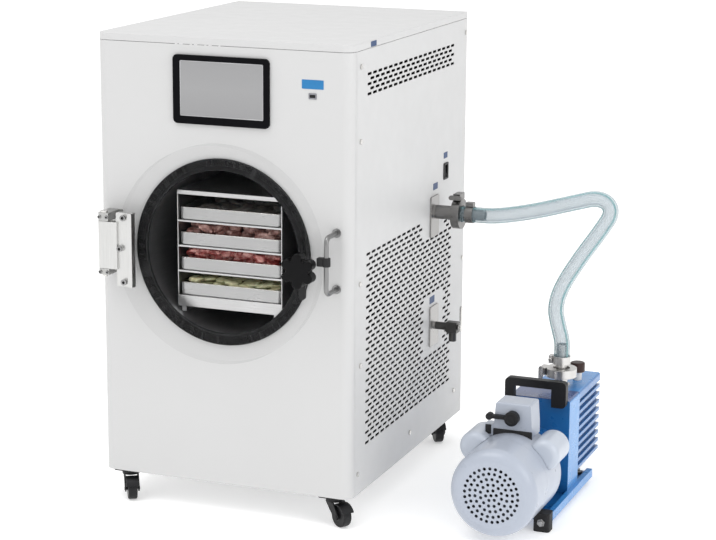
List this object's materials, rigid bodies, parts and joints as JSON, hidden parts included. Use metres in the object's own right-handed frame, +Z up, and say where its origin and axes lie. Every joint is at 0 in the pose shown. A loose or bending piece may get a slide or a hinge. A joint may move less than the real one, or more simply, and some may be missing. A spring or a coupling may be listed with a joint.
{
  "type": "freeze dryer",
  "caption": "Upright white cabinet freeze dryer with a round clear door, tray rack, castors and touch panel, joined by a clear hose to a blue and grey rotary vacuum pump.",
  "frame": {"origin": "on the floor, in the middle of the footprint box of the cabinet and pump together (hose left out)", "axes": "+Z up; the cabinet's door faces -Y; the vacuum pump stands on the +X side"},
  "size_m": [0.8041, 0.635, 0.812],
  "materials": {
    "white_paint": "fine satin powder coat",
    "stainless": "brushed",
    "clear_acrylic": "polished, clear",
    "black_rubber": "matt",
    "black_gloss": "gloss",
    "black_plastic": "moulded, fine grain",
    "copper": "drawn",
    "foam": "closed-cell foam",
    "aluminium": "mill",
    "compressor_black": "semi-gloss",
    "food": "moist, irregular",
    "hose_clear": "clear, reinforced",
    "pump_grey": "smooth gloss enamel",
    "pump_blue": "gloss enamel",
    "caster_black": "moulded"
  },
  "bodies": {
    "root": {"base_pan": "white_paint", "front_panel": "white_paint", "left_side_panel": "white_paint", "right_side_panel": "white_paint", "rear_panel": "white_paint", "top_cover": "white_paint", "panel_screws": "stainless", "chamber_shell": "stainless", "shelf_rack": "stainless", "tray_1": "stainless", "tray_2": "stainless", "tray_3": "stainless", "tray_4": "stainless", "hinge_bracket": "stainless", "hinge_pin": "stainless", "strike_handle": "stainless", "vacuum_port": "stainless", "hose_nipples": "stainless", "kf_clamps": "stainless", "hose_clamps": "stainless", "drain_valve": "stainless", "pump_inlet": "stainless", "insulation_jacket": "foam", "refrigerant_tubing": "copper", "door_seal": "black_rubber", "food_load": "food", "touch_panel": "black_gloss", "switch_housing": "black_plastic", "power_inlet": "black_plastic", "compressor": "compressor_black", "condenser": "aluminium", "fan_housing": "compressor_black", "vacuum_hose": "hose_clear", "caster_plates": "caster_black", "pump_frame": "pump_blue", "pump_oil_tank": "pump_blue", "motor_shell": "pump_grey", "motor_fan_cover": "pump_grey", "capacitor_covers": "pump_grey", "terminal_box": "pump_grey", "pump_handle": "black_plastic", "pump_feet": "black_rubber", "exhaust_cap": "black_plastic"},
    "door": {"door_disc": "clear_acrylic", "hinge_strap": "stainless"},
    "latch": {"door_knob": "black_plastic", "latch_cam": "stainless"},
    "rocker": {"switch_rocker": "black_gloss"},
    "drain_handle": {"drain_lever": "stainless"},
    "condenser_fan": {"fan_blades": "aluminium"},
    "pump_rotor": {"motor_fan": "black_plastic"},
    "pump_selector": {"pump_switch": "black_plastic"},
    "swivel_fl": {"caster_fork_fl": "caster_black"},
    "wheel_fl": {"caster_wheel_fl": "caster_black"},
    "swivel_fr": {"caster_fork_fr": "caster_black"},
    "wheel_fr": {"caster_wheel_fr": "caster_black"},
    "swivel_rl": {"caster_fork_rl": "caster_black"},
    "wheel_rl": {"caster_wheel_rl": "caster_black"},
    "swivel_rr": {"caster_fork_rr": "caster_black"},
    "wheel_rr": {"caster_wheel_rr": "caster_black"}
  },
  "joints": [
    {"name": "door_hinge", "type": "hinge", "parent": "root", "child": "door", "pos_m": [-0.36565, -0.2895, 0.456], "axis": [0, 0, -1], "range_deg": [0, 150]},
    {"name": "latch_turn", "type": "hinge", "parent": "door", "child": "latch", "pos_m": [-0.00465, -0.2955, 0.45], "axis": [0, -1, 0], "range_deg": [0, 90]},
    {"name": "power_rocker", "type": "hinge", "parent": "root", "child": "rocker", "pos_m": [0.06335, 0.2055, 0.534], "axis": [0, 1, 0], "range_deg": [0, 16]},
    {"name": "drain_turn", "type": "hinge", "parent": "root", "child": "drain_handle", "pos_m": [0.11935, 0.1485, 0.259], "axis": [1, 0, 0], "range_deg": [0, 90]},
    {"name": "condenser_fan_spin", "type": "hinge", "parent": "root", "child": "condenser_fan", "pos_m": [-0.00565, -0.0455, 0.164], "axis": [1, 0, 0], "continuous": true},
    {"name": "pump_rotor_spin", "type": "hinge", "parent": "root", "child": "pump_rotor", "pos_m": [0.30835, -0.1935, 0.089], "axis": [0, 1, 0], "continuous": true},
    {"name": "pump_selector_turn", "type": "hinge", "parent": "root", "child": "pump_selector", "pos_m": [0.30835, -0.1355, 0.19], "axis": [0, 1, 0], "range_deg": [0, 90]},
    {"name": "swivel_fl_turn", "type": "hinge", "parent": "root", "child": "swivel_fl", "pos_m": [-0.35465, -0.2315, 0.043], "axis": [0, 0, 1], "continuous": true},
    {"name": "wheel_fl_roll", "type": "hinge", "parent": "swivel_fl", "child": "wheel_fl", "pos_m": [-0.3439, -0.24837, 0.019], "axis": [0.8434, 0.5373, 0], "continuous": true},
    {"name": "swivel_fr_turn", "type": "hinge", "parent": "root", "child": "swivel_fr", "pos_m": [0.02935, -0.2315, 0.043], "axis": [0, 0, 1], "continuous": true},
    {"name": "wheel_fr_roll", "type": "hinge", "parent": "swivel_fr", "child": "wheel_fr", "pos_m": [0.04635, -0.24204, 0.019], "axis": [0.527, 0.8499, 0], "continuous": true},
    {"name": "swivel_rl_turn", "type": "hinge", "parent": "root", "child": "swivel_rl", "pos_m": [-0.35465, 0.2825, 0.043], "axis": [0, 0, 1], "continuous": true},
    {"name": "wheel_rl_roll", "type": "hinge", "parent": "swivel_rl", "child": "wheel_rl", "pos_m": [-0.34652, 0.26423, 0.019], "axis": [0.9135, 0.4067, 0], "continuous": true},
    {"name": "swivel_rr_turn", "type": "hinge", "parent": "root", "child": "swivel_rr", "pos_m": [0.02935, 0.2825, 0.043], "axis": [0, 0, 1], "continuous": true},
    {"name": "wheel_rr_roll", "type": "hinge", "parent": "swivel_rr", "child": "wheel_rr", "pos_m": [0.0401, 0.26563, 0.019], "axis": [0.8434, 0.5373, 0], "continuous": true}
  ]
}
